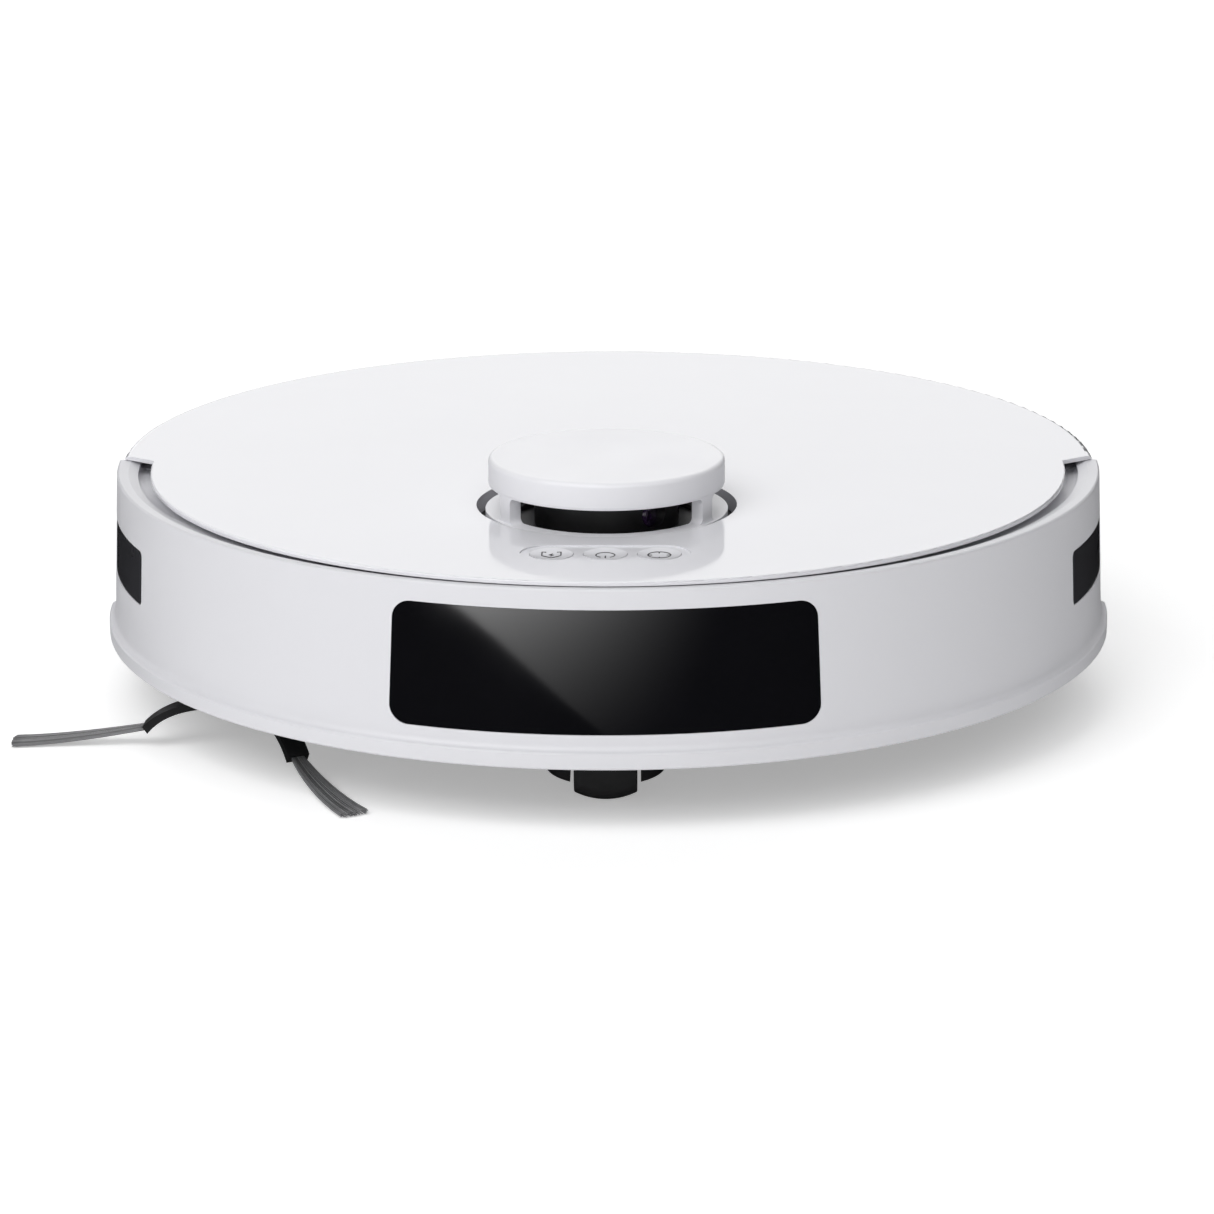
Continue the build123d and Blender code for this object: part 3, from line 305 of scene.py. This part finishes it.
# ---------------------------------------------------------------- mesh helpers
def new_piece(name, vertices, faces, slot, body, smooth=True):
    mesh = bpy.data.meshes.new(name)
    mesh.from_pydata(vertices, [], faces)
    mesh.update()
    for polygon in mesh.polygons:
        polygon.use_smooth = smooth
    piece = bpy.data.objects.new(name, mesh)
    bpy.context.scene.collection.objects.link(piece)
    mesh.materials.append(MATERIALS[slot])
    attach(piece, body)
    return piece


NO_STRAND_DIRECTION = Vector((0.12, 0.31, 0.94))


def tube_along(points, radius, sides, vertices, faces, end_scale=1.0,
               reference=NO_STRAND_DIRECTION):
    """Adds a closed tube that follows points, thinning to end_scale at its last one.

    The tube must not run along reference, which sets how its rings are turned.
    """
    first = len(vertices)
    count = len(points)
    for index, point in enumerate(points):
        ahead = points[min(index + 1, count - 1)] - points[max(index - 1, 0)]
        along = ahead.normalized()
        across = along.cross(reference).normalized()
        third = along.cross(across)
        size = radius * (1 + (end_scale - 1) * index / (count - 1))
        for step in range(sides):
            turn = 2 * pi * step / sides
            vertices.append(point + size * (cos(turn) * across + sin(turn) * third))
    for index in range(count - 1):
        for step in range(sides):
            a = first + index * sides + step
            b = first + index * sides + (step + 1) % sides
            faces.append((a, b, b + sides, a + sides))
    faces.append(tuple(first + step for step in reversed(range(sides))))
    faces.append(tuple(first + (count - 1) * sides + step for step in range(sides)))


def shade_fibres(piece, strand_vertices, strand_count):
    """Stores one random shade for each strand."""
    attribute = piece.data.attributes.new("fibre_shade", "FLOAT", "POINT")
    shades = []
    for _ in range(strand_count):
        shades += [random.random()] * strand_vertices
    attribute.data.foreach_set("value", shades)


# ---------------------------------------------------------------- side brush bristles
def side_brush_tufts():
    """Three fans of nylon bristles, from the arms' ends down to the floor."""
    hub = Vector(JOINTS["side_brush_spin"]["pos_m"])
    arm_angles = (58.5, 178.5, 298.5)
    start, tip = 34.5 * MM, 81.4 * MM
    root_half, tip_half, bow = 1.9 * MM, 4.7 * MM, 1.1 * MM
    root_z, root_layer = -2.6, 0.7
    tip_z, tip_layer, floor_gap = -8.35, 0.75, 0.25 * MM
    fan_power, droop_power = 0.8, 1.7
    strands, steps, sides, radius = 150, 9, 5, 0.16 * MM
    vertices, faces = [], []
    for angle in arm_angles:
        turn = Matrix.Rotation(radians(angle), 3, "Z")
        for _ in range(strands):
            across, layer = random.uniform(-1, 1), random.uniform(-1, 1)
            spread = across * tip_half + random.gauss(0, 0.12 * MM)
            length = tip - abs(random.gauss(0, 0.5 * MM)) - 0.6 * MM * across * across
            start_z = (root_z + root_layer * layer) * MM
            end_z = max(FLOOR_Z + floor_gap, (tip_z + tip_layer * layer) * MM)
            points = []
            for step in range(steps):
                share = step / (steps - 1)
                fan = share ** fan_power
                side = across * root_half * (1 - fan) + spread * fan
                side -= 4 * bow * share * (1 - share)
                height = start_z + (end_z - start_z) * (1 - (1 - share) ** droop_power)
                local = Vector((start + (length - start) * share, side, height))
                points.append(turn @ local + Vector((hub.x, hub.y, 0)))
            tube_along(points, radius, sides, vertices, faces, 0.8)
    piece = new_piece("side_brush_tufts", vertices, faces, "bristle_grey", "side_brush")
    shade_fibres(piece, steps * sides, strands * len(arm_angles))
    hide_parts("side_brush_bristles")


side_brush_tufts()


# ---------------------------------------------------------------- main brush blades and bristles
def brush_point(side, turn, along, radius):
    """A point of the main brush, from its distance along, angle round and radius from the axis."""
    axis = JOINTS["main_brush_spin"]["pos_m"]
    return Vector((side * along, axis[1] + radius * sin(turn), axis[2] - radius * cos(turn)))


BRUSH_ROWS = 6
BRUSH_TWIST = radians(60)
BRUSH_ROW_START, BRUSH_ROW_END = 0.5 * MM, 73.4 * MM
BRUSH_ROOT, BRUSH_TIP = 11.8 * MM, 20.3 * MM


def main_brush_blades():
    """Rubber blades in a chevron: thick at the foot, with a bead just inside the thin lip."""
    profile = ((BRUSH_ROOT, 1.0), (13.5 * MM, 0.75), (18.6 * MM, 0.5),
               (19.4 * MM, 0.75), (BRUSH_TIP, 0.45))    # radius, half thickness in millimetres
    steps = 36
    vertices, faces = [], []
    for row in range(0, BRUSH_ROWS, 2):
        for side in (-1, 1):
            first = len(vertices)
            for step in range(steps + 1):
                share = step / steps
                along = BRUSH_ROW_START + share * (BRUSH_ROW_END - BRUSH_ROW_START)
                turn = 2 * pi * row / BRUSH_ROWS + share * BRUSH_TWIST
                ring = list(profile) + [(radius, -half) for radius, half in reversed(profile)]
                for radius, half in ring:
                    vertices.append(brush_point(side, turn + half * MM / radius, along, radius))
            count = 2 * len(profile)
            for step in range(steps):
                for corner in range(count):
                    a = first + step * count + corner
                    b = first + step * count + (corner + 1) % count
                    quad = (a, b, b + count, a + count)
                    faces.append(quad if side < 0 else quad[::-1])
            start_cap = tuple(range(first, first + count))
            end_cap = tuple(range(first + steps * count, first + (steps + 1) * count))
            faces += [start_cap[::-1], end_cap] if side < 0 else [start_cap, end_cap[::-1]]
    piece = new_piece("main_brush_blades", vertices, faces, "rubber_black", "main_brush",
                      smooth=False)
    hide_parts("main_brush_bristles")


def main_brush_tufts():
    """Rows of nylon bristles between the blades, in the same chevron."""
    spacing, per_tuft, sides, radius = 1.9 * MM, 9, 4, 0.14 * MM
    tuft_spread, fan_angle, uneven = 0.42 * MM, 0.032, 0.3 * MM
    first_place, last_place = 0.3 * MM, 74.2 * MM
    reaches = (0.0, 0.35, 0.7, 1.0)
    reference = Vector((1.0, 0.05, 0.02))
    vertices, faces, strands = [], [], 0
    tufts = int((BRUSH_ROW_END - BRUSH_ROW_START) / spacing)
    for row in range(1, BRUSH_ROWS, 2):
        for side in (-1, 1):
            for index in range(tufts):
                share = (index + 0.5) / tufts
                along = BRUSH_ROW_START + share * (BRUSH_ROW_END - BRUSH_ROW_START)
                turn = 2 * pi * row / BRUSH_ROWS + share * BRUSH_TWIST
                for _ in range(per_tuft):
                    spread_along = random.gauss(0, tuft_spread)
                    spread_turn = random.gauss(0, fan_angle)
                    length = BRUSH_TIP - abs(random.gauss(0, uneven))
                    points = []
                    for reach in reaches:
                        place = along + spread_along * (0.4 + 0.6 * reach)
                        place = min(max(place, first_place), last_place)
                        bend = turn + spread_turn * (0.3 + 0.7 * reach)
                        out = BRUSH_ROOT + reach * (length - BRUSH_ROOT)
                        points.append(brush_point(side, bend, place, out))
                    tube_along(points, radius, sides, vertices, faces, 0.8, reference)
                    strands += 1
    piece = new_piece("main_brush_tufts", vertices, faces, "bristle_grey", "main_brush")
    shade_fibres(piece, len(reaches) * sides, strands)
    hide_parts("main_brush_bristles")


main_brush_blades()
main_brush_tufts()


# ---------------------------------------------------------------- torsion springs of the wheel arms
def wheel_coils():
    """A wound spring on each wheel arm's pivot."""
    pivot = JOINTS["left_wheel_drop"]["pos_m"]
    wire, radius, turns, steps = 0.4 * MM, 3.25 * MM, 2.25, 72
    start_x, pitch = 88.75 * MM, 0.62 * MM
    vertices, faces = [], []
    for side in (-1, 1):
        points = []
        for step in range(steps + 1):
            turn = 2 * pi * turns * step / steps
            x = side * (start_x + pitch * turns * step / steps)
            points.append(Vector((x, pivot[1] + radius * cos(turn), pivot[2] + radius * sin(turn))))
        tube_along(points, wire, 10, vertices, faces, 1.0, Vector((1.0, 0.0, 0.0)))
    piece = new_piece("wheel_coils", vertices, faces, "spring_steel", "chassis")
    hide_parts("wheel_springs")


wheel_coils()


# ---------------------------------------------------------------- symbols on the buttons
def dish_height(x, y):
    """Height of a button's dished face at a place counted from its centre."""
    lowest, curve = 69.65 * MM, 39.975 * MM
    return lowest + (x * x + y * y) / (2 * curve)


def add_symbol(name, body, centre_x, strokes):
    """Thin strokes on a button's face: lists of points in millimetres from its centre."""
    centre_y, radius, sunk = -134.0 * MM, 0.26 * MM, 0.10 * MM
    vertices, faces = [], []
    for stroke in strokes:
        points = []
        for x, y in stroke:
            x, y = x * MM, y * MM
            points.append(Vector((centre_x * MM + x, centre_y + y, dish_height(x, y) - sunk)))
        tube_along(points, radius, 8, vertices, faces)
    new_piece(name, vertices, faces, "black_satin", body)


def arc(radius, start, end, steps=40):
    """Points round a circle, from one angle to another in degrees."""
    angles = [radians(start + (end - start) * step / steps) for step in range(steps + 1)]
    return [(radius * cos(angle), radius * sin(angle)) for angle in angles]


def button_symbols():
    """A house with a bolt for the dock, a power sign, and a target for spot cleaning."""
    house = [(-1.7, 3.2), (-3.0, 3.2), (-3.0, -0.7), (0.0, -3.4),
             (3.0, -0.7), (3.0, 3.2), (1.7, 3.2)]
    bolt = [(0.4, 1.7), (-0.7, 0.5), (0.7, 0.3), (-0.3, -0.9)]
    add_symbol("dock_symbol", "dock_button", -17.0, [house, bolt])
    stick = [(0.0, -3.6), (0.0, -0.7)]
    add_symbol("power_symbol", "power_button", 0.0, [arc(3.0, -60, 240), stick])
    ticks = [[(3.6 * cos(turn), 3.6 * sin(turn)), (2.3 * cos(turn), 2.3 * sin(turn))]
             for turn in (0, pi / 2, pi, 3 * pi / 2)]
    add_symbol("spot_symbol", "spot_button", 17.0, [arc(3.6, 0, 360)] + ticks)


button_symbols()


# ---------------------------------------------------------------- floor, light and camera
def add_floor():
    """Pale light table: it glows a little, so that the shadow under the machine stays soft."""
    half, glow = 8.0, 0.36
    z = FLOOR_Z - 0.02 * MM
    corners = [(-half, -half, z), (half, -half, z), (half, half, z), (-half, half, z)]
    mesh = bpy.data.meshes.new("studio_floor")
    mesh.from_pydata(corners, [], [(0, 1, 2, 3)])
    floor = bpy.data.objects.new("studio_floor", mesh)
    bpy.context.scene.collection.objects.link(floor)
    recipe = Recipe("studio_white", 0.9, specular=0.0).color((0.90, 0.90, 0.90), 0.003, 400)
    recipe.socket("Emission Color", (1, 1, 1, 1)).socket("Emission Strength", glow)
    mesh.materials.append(recipe.material)
    floor.visible_glossy = False


SOFTBOXES = {    # name: degrees round from the front towards +X, degrees up, watts
    "front_low": (0, 20, 15),
    "front_high": (0, 50, 14),
    "key_low": (-45, 20, 13),
    "key_high": (-45, 50, 37),
    "fill_high": (45, 50, 8),
    "rear_low": (180, 20, 17),
    "rear_high": (180, 50, 17),
    "rear_right_low": (135, 20, 4),
    "rear_right_high": (135, 50, 5),
    "rear_left_low": (-135, 20, 4),
    "top": (0, 89.9, 5),
}


def add_softboxes():
    """Square softboxes on a sphere round the machine, the strongest of them at the front left."""
    distance, size = 3.0, 2.0
    for name, (around, up, watts) in SOFTBOXES.items():
        light = bpy.data.lights.new(name, "AREA")
        light.size = size
        light.energy = watts
        box = bpy.data.objects.new(name, light)
        turn = Matrix.Rotation(radians(around), 3, "Z") @ Matrix.Rotation(-radians(up), 3, "X")
        box.location = turn @ Vector((0, -distance, 0))
        box.rotation_euler = (-box.location).to_track_quat("-Z", "Y").to_euler()
        box.visible_camera = False
        bpy.context.scene.collection.objects.link(box)


def add_window_card():
    """Glowing card with an arched edge on the floor in front; only the front window mirrors it."""
    centre, radius, first, last = Vector((-0.299, -0.103)), 0.362, -98, -20
    height, far_x, far_y = FLOOR_Z + 1 * MM, 0.40, -0.62
    falloff, dark_from, brightness = (-1.027, -0.786, 0.0), 0.172, 60.0
    edge = [(centre.x + radius * x, centre.y + radius * y) for x, y in arc(1.0, first, last, 30)]
    outline = edge + [(far_x, edge[-1][1]), (far_x, far_y), (edge[0][0], far_y)]
    mesh = bpy.data.meshes.new("window_card")
    mesh.from_pydata([(x, y, height) for x, y in outline], [], [tuple(range(len(outline)))])
    card = bpy.data.objects.new("window_card", mesh)
    bpy.context.scene.collection.objects.link(card)
    recipe = Recipe("card_glow", 1.0, specular=0.0).color((0.0, 0.0, 0.0))
    place = recipe.node("ShaderNodeTexCoord")
    fade = recipe.node("ShaderNodeVectorMath", operation="DOT_PRODUCT")
    fade.inputs[1].default_value = falloff
    recipe.link(place.outputs["Object"], fade.inputs[0])
    shifted = recipe.node("ShaderNodeMath", operation="SUBTRACT", use_clamp=True)
    shifted.inputs[1].default_value = dark_from
    recipe.link(fade.outputs["Value"], shifted.inputs[0])
    squared = recipe.node("ShaderNodeMath", operation="MULTIPLY")
    recipe.link(shifted.outputs["Value"], squared.inputs[0])
    recipe.link(shifted.outputs["Value"], squared.inputs[1])
    power = recipe.node("ShaderNodeMath", operation="MULTIPLY")
    power.inputs[1].default_value = brightness
    recipe.link(squared.outputs["Value"], power.inputs[0])
    recipe.link(power.outputs["Value"], recipe.shader.inputs["Emission Strength"])
    recipe.socket("Emission Color", (1, 1, 1, 1))
    mesh.materials.append(recipe.material)
    card.visible_camera = False
    card.visible_diffuse = False
    card.visible_shadow = False
    card.visible_transmission = False
    receivers = bpy.data.collections.new("window_card_receivers")
    receivers.objects.link(CAD_NODES["front_window"])
    card.light_linking.receiver_collection = receivers


def add_world(strength):
    """Even light from above the horizon, and none from below it."""
    world = bpy.data.worlds.new("studio")
    world.use_nodes = True
    tree = world.node_tree
    background = tree.nodes["Background"]
    direction = tree.nodes.new("ShaderNodeTexCoord")
    parts = tree.nodes.new("ShaderNodeSeparateXYZ")
    above = tree.nodes.new("ShaderNodeMapRange")
    above.inputs["From Min"].default_value = -0.02
    above.inputs["From Max"].default_value = 0.02
    above.inputs["To Max"].default_value = strength
    tree.links.new(direction.outputs["Generated"], parts.inputs["Vector"])
    tree.links.new(parts.outputs["Z"], above.inputs["Value"])
    tree.links.new(above.outputs["Result"], background.inputs["Strength"])
    bpy.context.scene.world = world


def add_camera():
    """Straight ahead of the bumper, looking down a little, on a long lens."""
    distance, height = 1.25, 0.3751
    azimuth, yaw, pitch, roll = radians(0.40), radians(0.423), radians(16.11), radians(-0.13)
    data = bpy.data.cameras.new("camera")
    data.sensor_width = 36.0
    data.lens = 109.0
    camera = bpy.data.objects.new("camera", data)
    place = Matrix.Rotation(azimuth, 3, "Z") @ Vector((0, -distance, height))
    turn = Matrix.Rotation(yaw, 3, "Z") @ Matrix.Rotation(pi / 2 - pitch, 3, "X")
    turn = turn @ Matrix.Rotation(roll, 3, "Z")
    camera.matrix_world = Matrix.Translation(place) @ turn.to_4x4()
    bpy.context.scene.collection.objects.link(camera)
    bpy.context.scene.camera = camera


add_floor()
add_world(0.05)
add_softboxes()
add_window_card()
add_camera()
bpy.context.scene.view_settings.view_transform = "Standard"
